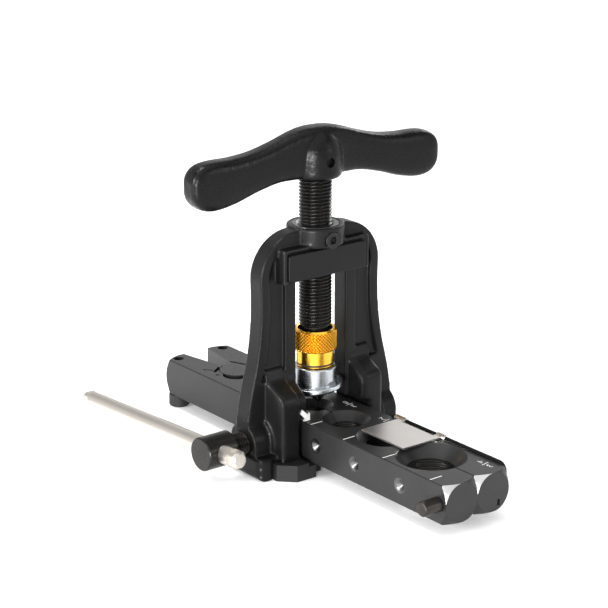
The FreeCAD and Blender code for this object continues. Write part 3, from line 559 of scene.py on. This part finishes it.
GRIP_SECTIONS = (               # distance from the axis, centre height, half height, half thickness
    (0.0, 129.0, 10.4, 6.6),
    (6.0, 128.9, 10.2, 6.2),
    (12.0, 128.4, 9.4, 5.7),
    (20.0, 127.0, 8.2, 5.4),
    (30.0, 124.6, 8.0, 5.4),
    (40.0, 122.5, 9.0, 5.5),
    (49.0, 121.7, 9.7, 5.6),
    (54.5, 121.7, 8.9, 5.5),
    (57.4, 121.8, 7.0, 5.1),
    (59.0, 121.9, 4.8, 4.2),
    (59.6, 121.9, 3.0, 3.0),
)
HUB_PROFILE = (                 # radius, height
    (0.01, 118.6), (9.6, 118.6), (10.7, 119.8), (10.7, 127.5), (10.2, 131.0), (8.9, 134.2),
    (6.8, 136.8), (4.2, 138.4), (0.01, 139.3),
)
HANDLE_TURN = math.radians(-3.0)
HANDLE_VOXEL = 0.5
HANDLE_SMOOTHING = 14
GRIP_STEPS = 120
PIN_Z = 126.0
PIN_HOLE_R = 2.0
PIN_HALF = 9.0                  # the pin's holes are open from here outwards
DRILL_REACH = 15                # beyond the hub


def between_sections(distance):
    """Centre height, half height and half thickness of the grip, smoothly between its sections."""
    rows = GRIP_SECTIONS
    k = 0
    while k < len(rows) - 2 and rows[k + 1][0] < distance:
        k += 1
    before, first, last = rows[max(k - 1, 0)], rows[k], rows[k + 1]
    after = rows[min(k + 2, len(rows) - 1)]
    span = last[0] - first[0]
    t = (distance - first[0]) / span
    values = []
    for column in (1, 2, 3):
        slope_0 = 0.0
        if k > 0:
            slope_0 = (last[column] - before[column]) / (last[0] - before[0]) * span
        slope_1 = (after[column] - first[column]) / (after[0] - first[0]) * span
        values.append(
            (2 * t**3 - 3 * t**2 + 1) * first[column] + (t**3 - 2 * t**2 + t) * slope_0
            + (3 * t**2 - 2 * t**3) * last[column] + (t**3 - t**2) * slope_1
        )
    return values


def grip_ring(x, count=64, power=4.0):
    """A rounded-square section of the grip at x."""
    centre, half_height, half_width = between_sections(abs(x))
    ring = []
    for i in range(count):
        angle = 2 * math.pi * i / count
        c, s = math.cos(angle), math.sin(angle)
        across = half_width * math.copysign(abs(c) ** (2 / power), c)
        height = centre + half_height * math.copysign(abs(s) ** (2 / power), s)
        ring.append((x, across, height))
    return ring


def pin_drill():
    """The two round tools that open the pin's hole at both sides of the hub."""
    near = lathe("drill", ((PIN_HOLE_R, -DRILL_REACH), (PIN_HOLE_R, -PIN_HALF)), steps=32)
    far = lathe("drill_other", ((PIN_HOLE_R, PIN_HALF), (PIN_HOLE_R, DRILL_REACH)), steps=32)
    mesh = joined("drills", [near, far])
    mesh.transform(Matrix.Rotation(math.pi / 2, 4, "X"))
    mesh.transform(Matrix.Translation((0, 0, PIN_Z * MM)))
    mesh.transform(Matrix.Rotation(HANDLE_TURN, 4, "Z"))
    tool = bpy.data.objects.new("drills", mesh)
    bpy.context.scene.collection.objects.link(tool)
    return tool


def handle_casting():
    """T-handle: flat grips with rounded edges that flow over a domed hub, with the pin's hole."""
    reach = GRIP_SECTIONS[-1][0]
    rings = []
    for k in range(GRIP_STEPS + 1):
        rings.append(grip_ring(reach * math.sin(math.pi / 2 * (2 * k / GRIP_STEPS - 1))))
    mesh = joined("handle_casting", [surface_of_rings("grip", rings), lathe("hub", HUB_PROFILE)])
    mesh.transform(Matrix.Rotation(HANDLE_TURN, 4, "Z"))
    made = piece("handle_casting", mesh, "feed_screw", "handle_black", smooth_angle=ALL_SMOOTH)
    cast_skin(made, HANDLE_VOXEL, HANDLE_SMOOTHING)
    tool = pin_drill()
    cut = made.modifiers.new("cut", "BOOLEAN")
    cut.operation = "DIFFERENCE"
    cut.solver = "EXACT"
    cut.object = tool
    bpy.context.view_layer.update()
    apply_modifiers(made)
    bpy.data.objects.remove(tool)
    made.data.materials.clear()
    made.data.materials.append(MATERIAL["handle_black"])
    made.data.shade_smooth()
    made.data.set_sharp_from_angle(angle=math.radians(SHARP_ANGLE))
    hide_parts("handle")
    return made


handle_casting()
finished("handle_pin", 0.3)

COLLAR_BOTTOM = 39.6
COLLAR_TOP = 55.5
SMOOTH_R = 7.7                  # polished band
COLLAR_BORE = 6.75
COLLAR_STEP_Z = 45.3            # where the bore narrows to the screw's neck
NECK_CLEAR_R = NECK_R + 0.05
RING_GROOVE_R = 7.2
RING_GROOVE = (40.2, 41.0)      # bottom and top of the black ring's groove
MOUTH_R = 7.2                   # recess at the collar's top
MOUTH_DEPTH = 2.2
KNURL_R = 8.9
KNURL_BOTTOM = 46.4
KNURL_RIM_BELOW = 0.5           # plain rims under and over the knurl
KNURL_RIM_ABOVE = 0.7
KNURLS = 38
KNURL_DEPTH = 0.55
KNURL_LEVELS = 64
KNURL_FADE = 0.25
KNURL_VALLEY = 0.62             # share of the depth below which a face gets a darker gold as painted shade
COLLAR_STEPS = 540
KNURL_SHADE_INDEX = 1
DARK_MOUTH = 2


def collar():
    """Diamond knurl above with painted shade in its valleys, polished band and groove below, hollow for the
    screw's neck.
    """
    lower, upper = KNURL_BOTTOM + KNURL_RIM_BELOW, COLLAR_TOP - KNURL_RIM_ABOVE
    turns = (upper - lower) / (2 * math.pi * KNURL_R / KNURLS)

    def radial(angle, radius, height):
        if not lower <= height <= upper or radius < KNURL_R - 0.2:
            return radius
        along = (height - lower) / (upper - lower) * turns
        across = angle / (2 * math.pi) * KNURLS
        first = abs(((across + along) % 1.0) * 2 - 1)
        second = abs(((across - along) % 1.0) * 2 - 1)
        edge = min(1.0, min(height - lower, upper - height) / KNURL_FADE)
        return radius - KNURL_DEPTH * edge * (1 - min(first, second))

    groove_bottom, groove_top = RING_GROOVE
    profile = [
        (NECK_CLEAR_R, COLLAR_STEP_Z), (COLLAR_BORE, COLLAR_STEP_Z), (COLLAR_BORE, COLLAR_BOTTOM),
        (SMOOTH_R - 0.3, COLLAR_BOTTOM), (SMOOTH_R, COLLAR_BOTTOM + 0.3), (SMOOTH_R, groove_bottom),
        (RING_GROOVE_R, groove_bottom), (RING_GROOVE_R, groove_top), (SMOOTH_R, groove_top),
        (SMOOTH_R, KNURL_BOTTOM), (KNURL_R - 0.4, KNURL_BOTTOM), (KNURL_R - 0.1, KNURL_BOTTOM + 0.3),
    ]
    for k in range(KNURL_LEVELS + 1):
        profile.append((KNURL_R, lower + (upper - lower) * k / KNURL_LEVELS))
    profile += [
        (KNURL_R - 0.7, COLLAR_TOP), (MOUTH_R + 0.3, COLLAR_TOP), (MOUTH_R, COLLAR_TOP - 0.2),
        (MOUTH_R, COLLAR_TOP - MOUTH_DEPTH), (NECK_CLEAR_R, COLLAR_TOP - MOUTH_DEPTH),
        (NECK_CLEAR_R, COLLAR_STEP_Z),
    ]
    mesh = lathe("collar_gold", profile, COLLAR_STEPS, radial, closed_ends=False)
    made = piece("collar_gold", mesh, "collar", "gold_anodised", smooth_angle=28.0)
    mesh.materials.append(MATERIAL["gold_valley"])
    mesh.materials.append(MATERIAL["black_oxide"])
    # the knurl's deepest faces get a darker gold as painted shade
    for polygon in mesh.polygons:
        centre = polygon.center / MM
        reach = math.hypot(centre.x, centre.y)
        deep = KNURL_R - KNURL_DEPTH < reach < KNURL_R - KNURL_VALLEY * KNURL_DEPTH
        if lower < centre.z < upper and deep:
            polygon.material_index = KNURL_SHADE_INDEX
        elif centre.z > COLLAR_TOP - MOUTH_DEPTH - 0.1 and reach < MOUTH_R + 0.1:
            polygon.material_index = DARK_MOUTH
    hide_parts("knurled_collar")
    return made


collar()


# ---------------------------------------------------------------- clamp screw

CLAMP_STEM_R = 4.9
CLAMP_ROOT_R = 4.2
CLAMP_STEM_IN = -24.6
CLAMP_STEM_OUT = -44.3
CLAMP_PITCH = 1.25
STEM_TOLERANCE = 0.05
STEM_UNDER = 0.1                # how far the plain stem lies under the thread's root


def clamp_thread():
    """Thread skin over the clamp screw's stem, between its head and the yoke's boss."""
    length = CLAMP_STEM_IN - CLAMP_STEM_OUT
    mesh = threaded("clamp_thread", CLAMP_STEM_R, CLAMP_ROOT_R, CLAMP_PITCH, 0.0, length, fade=0.8)
    return piece("clamp_thread", along_minus_x(mesh, CLAMP_STEM_IN), "clamp_screw", "black_oxide")


def slim_stem(mesh):
    """Takes the screw's plain stem down to just under the thread's root."""
    for vertex in mesh.vertices:
        x, y, z = vertex.co / MM
        radius = math.hypot(y, z - AXIS_Z)
        on_stem = CLAMP_ROOT_R < radius < CLAMP_STEM_R + STEM_TOLERANCE
        if x > CLAMP_STEM_OUT - STEM_TOLERANCE and on_stem:
            ratio = (CLAMP_ROOT_R - STEM_UNDER) / radius
            vertex.co = Vector((x, y * ratio, AXIS_Z + (z - AXIS_Z) * ratio)) * MM


finished("clamp_screw", 0.35, 3, change=slim_stem)
clamp_thread()


# ---------------------------------------------------------------- marks on the die bar

MARK_HEIGHT = 0.03
MARK_ROOTED = 0.02              # how far a painted mark goes into the bar
LINE_FROM_X = -15.6
LINE_TO_X = -9.7
LINE_WIDTH = 0.5
LINE_AHEAD = 17.0               # distance of an index line in front of its die


def strip_mesh(name, start, end, width, z):
    """A thin painted line with squared ends on the bar's top."""
    start, end = Vector(start), Vector(end)
    side = (end - start).cross(UP).normalized() * (width / 2)
    corners = [start - side, end - side, end + side, start + side]
    low = [(p.x, p.y, z - MARK_ROOTED) for p in corners]
    high = [(p.x, p.y, z + MARK_HEIGHT) for p in corners]
    faces = [(0, 1, 2, 3), (4, 5, 6, 7)]
    for i in range(4):
        j = (i + 1) % 4
        faces.append((i, j, 4 + j, 4 + i))
    return mesh_from(name, low + high, faces)


def index_lines():
    """One white line for each die on the left half's top, from near its outer edge inwards."""
    for text, _, y, _ in DIES:
        name = "index_line_" + text.replace("/", "_")
        y_line = y - LINE_AHEAD
        start, end = (LINE_FROM_X, y_line, 0), (LINE_TO_X, y_line, 0)
        mesh = strip_mesh(name, start, end, LINE_WIDTH, BAR_TOP)
        piece(name, mesh, "left_jaw", "bar_grey", "white_mark")


DIGIT = 3.1                     # height of a digit
FONT_SCALE = 1.4                # the font's size against the height of its digits
STROKE_THINNING = 0.085
FRACTIONS = (                   # tube size, place of the fraction's bar along the die bar
    ("1/4", 9.6),
    ("3/8", -8.5),
    ("1/2", -32.2),
    ("5/8", -58.6),
    ("3/4", -90.6),
)
FRACTION_X = 11.4
UPPER_DIGIT_Y = -2.3            # places of the digits from the fraction's bar
LOWER_DIGIT_Y = 2.6
FRACTION_BAR = (1.9, 0.35, 0.32)    # half length, half slant, width


def digit(text, x, y):
    """A thin painted digit that reads from the rear."""
    curve = bpy.data.curves.new("digit", "FONT")
    curve.body = text
    curve.size = DIGIT * FONT_SCALE * MM
    curve.offset = -STROKE_THINNING * MM
    curve.extrude = MARK_HEIGHT * MM
    curve.align_x = "CENTER"
    curve.align_y = "CENTER"
    made = bpy.data.objects.new("digit", curve)
    bpy.context.scene.collection.objects.link(made)
    made.location = (x * MM, y * MM, (BAR_TOP + MARK_HEIGHT / 2) * MM)
    made.rotation_euler = (0, 0, math.pi)
    bpy.context.view_layer.update()
    depsgraph = bpy.context.evaluated_depsgraph_get()
    mesh = bpy.data.meshes.new_from_object(made.evaluated_get(depsgraph))
    mesh.transform(made.matrix_world)
    bpy.data.objects.remove(made)
    return mesh


def fraction(text, y):
    """The tube size as a stacked fraction near the right edge, turned to read from the rear."""
    upper, lower = text.split("/")
    name = "size_" + text.replace("/", "_")
    half, slant, width = FRACTION_BAR
    start, end = (FRACTION_X - half, y - slant, 0), (FRACTION_X + half, y + slant, 0)
    meshes = [
        digit(upper, FRACTION_X, y + UPPER_DIGIT_Y),
        digit(lower, FRACTION_X, y + LOWER_DIGIT_Y),
        strip_mesh(name + "_bar", start, end, width, BAR_TOP),
    ]
    return piece(name, joined(name, meshes), "right_jaw", "bar_grey", "white_mark")


index_lines()
for size_text, place in FRACTIONS:
    fraction(size_text, place)


# ---------------------------------------------------------------- die bars

PAINTED_HIGHLIGHT = 2
TURNED = 3
END_REACH = 3.0                 # length of the turned end cone
END_CORE_R = 8.0                # the corner with the painted highlight lies outside this radius
HIGHLIGHT_ABOVE = 1.5                # and this far over the bar's middle
END_SLOPE = (0.35, 0.97)        # lengthwise part of an end cone face's normal
DIMPLE_X = (-15.95, -13.8)
DIMPLE_R = 3.2
DIMPLE_SLOPE = (0.3, 0.99)      # crosswise part of a dimple face's normal
DIMPLES_START = 8               # all dimples lie further than this from the bar's front


def die_bar(side, node):
    """A bar half with broken edges. The upper left corners of its front end cone are bright steel as a
    painted highlight where the key light falls, and the left half's dimples are freshly turned."""
    made = finished(node, 0.12, 2, edge_material="bar_edge")
    mesh = made.data
    mesh.materials.append(MATERIAL["bright_cut"])
    mesh.materials.append(MATERIAL["turned_steel"])
    middle_x = side * BAR_SIDE / 2
    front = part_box(node)[0].y / MM
    for polygon in mesh.polygons:
        centre = polygon.center / MM
        normal = polygon.normal
        reach = math.hypot(centre.x - middle_x, centre.z - AXIS_Z)
        on_cone = END_SLOPE[0] < abs(normal.y) < END_SLOPE[1] and centre.y - front < END_REACH
        upper_left = centre.x < middle_x and centre.z > AXIS_Z + HIGHLIGHT_ABOVE
        # the end cone's upper left faces, toward the key light, get bright steel as a painted highlight
        if on_cone and upper_left and reach > END_CORE_R:
            polygon.material_index = PAINTED_HIGHLIGHT
        at_dimple = DIMPLE_X[0] < centre.x < DIMPLE_X[1] and abs(centre.z - AXIS_Z) < DIMPLE_R
        sloped = DIMPLE_SLOPE[0] < abs(normal.x) < DIMPLE_SLOPE[1]
        if side < 0 and at_dimple and sloped and centre.y > front + DIMPLES_START:
            polygon.material_index = TURNED
    return made


die_bar(-1, "die_bar_left")
die_bar(1, "die_bar_right")


# ---------------------------------------------------------------- serrated bores

GROOVE_PITCH = 0.9
GROOVE_DEPTH = 0.26
GROOVE_SINK = 0.02              # the lining goes this far into the wall, and stands out at least as far
GROOVE_STEP = 0.16              # height between the lining's rings
LINING_TOP_GAP = 0.2            # from the seat down to the lining
LINING_BOTTOM_GAP = 0.4         # from the bar's underside up to it
LINING_ARC = 28                 # points along half a bore
LINING_ANGLE = 87               # degrees to each side of the half's middle


def lining_ring(side, y, inner, outer, z):
    """One closed loop of a half-round lining: its inner arc, then its outer arc back."""
    angles = []
    for i in range(LINING_ARC + 1):
        angles.append(math.radians(-LINING_ANGLE + 2 * LINING_ANGLE * i / LINING_ARC))
    ring = [(side * inner * math.cos(a), y + inner * math.sin(a), z) for a in angles]
    ring += [(side * outer * math.cos(a), y + outer * math.sin(a), z) for a in reversed(angles)]
    return ring


def die_serrations():
    """Fine grip grooves in the bore of each die, as a half-round lining on each bar half."""
    for text, radius, y, depth in DIES:
        top = BAR_TOP - depth - LINING_TOP_GAP
        for side, body, half in ((-1, "left_jaw", "left"), (1, "right_jaw", "right")):
            rings = []
            z = BAR_TOP - BAR_SIDE + LINING_BOTTOM_GAP
            while z <= top:
                wave = 0.5 - 0.5 * math.cos(2 * math.pi * z / GROOVE_PITCH)
                inner = radius - GROOVE_SINK - GROOVE_DEPTH * wave
                rings.append(lining_ring(side, y, inner, radius + GROOVE_SINK, z))
                z += GROOVE_STEP
            name = "grip_%s_%s" % (text.replace("/", "_"), half)
            piece(name, surface_of_rings(name, rings), body, "bar_grey", "black_oxide")


die_serrations()


# ---------------------------------------------------------------- small parts

SMALL_PARTS = (                 # node, width of its broken edges
    ("tommy_bar", 0.3), ("stop_plate", 0.1), ("stop_pin", 0.2),
    ("foot_left", 0.35), ("foot_right", 0.35), ("clamp_tip", 0.15), ("collar_ring", 0.1),
    ("cone_holder", 0.2), ("flaring_cone", 0.08), ("front_bumper", 0.1), ("hinge_pin", 0.15),
    ("jaw_spring", 0.02),
)
WIRE_EXTRA = 0.16               # added to the wire's radius in the visual model


def thicken(mesh):
    """A wire thicker than the CAD's, which hides a pale line between it and the bar's edge."""
    moved = [vertex.co + vertex.normal * WIRE_EXTRA * MM for vertex in mesh.vertices]
    for vertex, place in zip(mesh.vertices, moved):
        vertex.co = place


for small_node, edge in SMALL_PARTS:
    finished(small_node, edge)
wire = finished("stop_rod", 0.02, change=thicken)
wire.data.materials.clear()
wire.data.materials.append(MATERIAL["wire_black"])


# ---------------------------------------------------------------- camera, light, floor

CAMERA_AT = (-0.478, -0.6066, 0.3115)
CAMERA_AZIMUTH = math.radians(37.9)
CAMERA_ELEVATION = math.radians(17.70)
CAMERA_LENS = 118.07            # on a sensor 36 mm wide
LAMPS_LOOK_AT = (0, 0, 0.05)
WORLD_ZENITH = 0.14             # the world's strength overhead
WORLD_HORIZON = 1.0             # and near the horizon
WORLD_FADE = (0.35, 0.70)       # sines of the heights between which it falls
FLOOR_REACH = 6.0
FLOOR_GLOW = 0.12               # lifts the shadows on the pale floor
SUNS = (                        # name, direction that the light comes from, irradiance, angle in degrees
    ("overhead_sun", (-0.15, -0.25, 1.0), 1.6, 80),
    ("left_sun", (-1.0, -0.1, 0.9), 0.3, 40),
)
LAMPS = (                       # name, place, size, power
    ("key_left", (-0.95, 0.12, 0.32), 0.28, 10.0),
    ("front_left", (-0.76, -0.60, 0.10), 0.16, 9.0),
    ("top_soft", (-0.1, 0.30, 0.75), 0.25, 3.0),
    ("front_right", (0.45, -0.85, 0.35), 0.2, 1.0),
    ("rim_right", (0.8, 0.35, 0.5), 0.3, 2.0),
)


def aim(made, towards):
    """Turns a lamp or the camera to look along a direction."""
    made.rotation_mode = "QUATERNION"
    made.rotation_quaternion = towards.to_track_quat("-Z", "Y")


def camera():
    scene = bpy.context.scene
    lens = bpy.data.cameras.new("camera")
    made = bpy.data.objects.new("camera", lens)
    scene.collection.objects.link(made)
    back = Vector((
        -math.sin(CAMERA_AZIMUTH) * math.cos(CAMERA_ELEVATION),
        -math.cos(CAMERA_AZIMUTH) * math.cos(CAMERA_ELEVATION),
        math.sin(CAMERA_ELEVATION),
    ))
    made.location = CAMERA_AT
    aim(made, -back)
    lens.sensor_width = 36.0
    lens.lens = CAMERA_LENS
    lens.clip_start = 0.01
    lens.clip_end = 20.0
    scene.camera = made


def surroundings():
    """White world, brightest at the horizon."""
    scene = bpy.context.scene
    world = bpy.data.worlds.new("studio")
    scene.world = world
    world.use_nodes = True
    tree = world.node_tree
    background = tree.nodes["Background"]
    place = tree.nodes.new("ShaderNodeTexCoord")
    split = tree.nodes.new("ShaderNodeSeparateXYZ")
    fall = tree.nodes.new("ShaderNodeMapRange")
    fall.interpolation_type = "SMOOTHSTEP"
    fall.inputs["From Min"].default_value = WORLD_FADE[0]
    fall.inputs["From Max"].default_value = WORLD_FADE[1]
    fall.inputs["To Min"].default_value = WORLD_HORIZON
    fall.inputs["To Max"].default_value = WORLD_ZENITH
    tree.links.new(place.outputs["Generated"], split.inputs["Vector"])
    tree.links.new(split.outputs["Z"], fall.inputs["Value"])
    tree.links.new(fall.outputs["Result"], background.inputs["Strength"])
    background.inputs["Color"].default_value = (1, 1, 1, 1)
    scene.view_settings.view_transform = "Standard"


def pale_floor():
    mesh = bpy.data.meshes.new("floor")
    corners = []
    for x, y in ((-1, -1), (1, -1), (1, 1), (-1, 1)):
        corners.append((x * FLOOR_REACH, y * FLOOR_REACH, 0))
    mesh.from_pydata(corners, [], [(0, 1, 2, 3)])
    floor = bpy.data.objects.new("floor", mesh)
    bpy.context.scene.collection.objects.link(floor)
    m = Nodes("floor_white")
    tone = m.noise(3.0, 2.0)
    m.feed("Base Color", m.mix(tone, (0.95, 0.95, 0.95, 1), (0.97, 0.97, 0.97, 1)))
    m.bsdf.inputs["Roughness"].default_value = 0.9
    m.bsdf.inputs["Emission Color"].default_value = (1, 1, 1, 1)
    m.bsdf.inputs["Emission Strength"].default_value = FLOOR_GLOW
    mesh.materials.append(m.material)


def lights():
    collection = bpy.context.scene.collection
    for name, direction, power, angle in SUNS:
        light = bpy.data.lights.new(name, "SUN")
        light.energy = power
        light.angle = math.radians(angle)
        lamp = bpy.data.objects.new(name, light)
        aim(lamp, -Vector(direction))
        collection.objects.link(lamp)
    for name, place, size, power in LAMPS:
        light = bpy.data.lights.new(name, "AREA")
        light.shape = "SQUARE"
        light.size = size
        light.energy = power
        lamp = bpy.data.objects.new(name, light)
        lamp.location = place
        lamp.visible_camera = False
        aim(lamp, Vector(LAMPS_LOOK_AT) - Vector(place))
        collection.objects.link(lamp)


camera()
surroundings()
pale_floor()
lights()
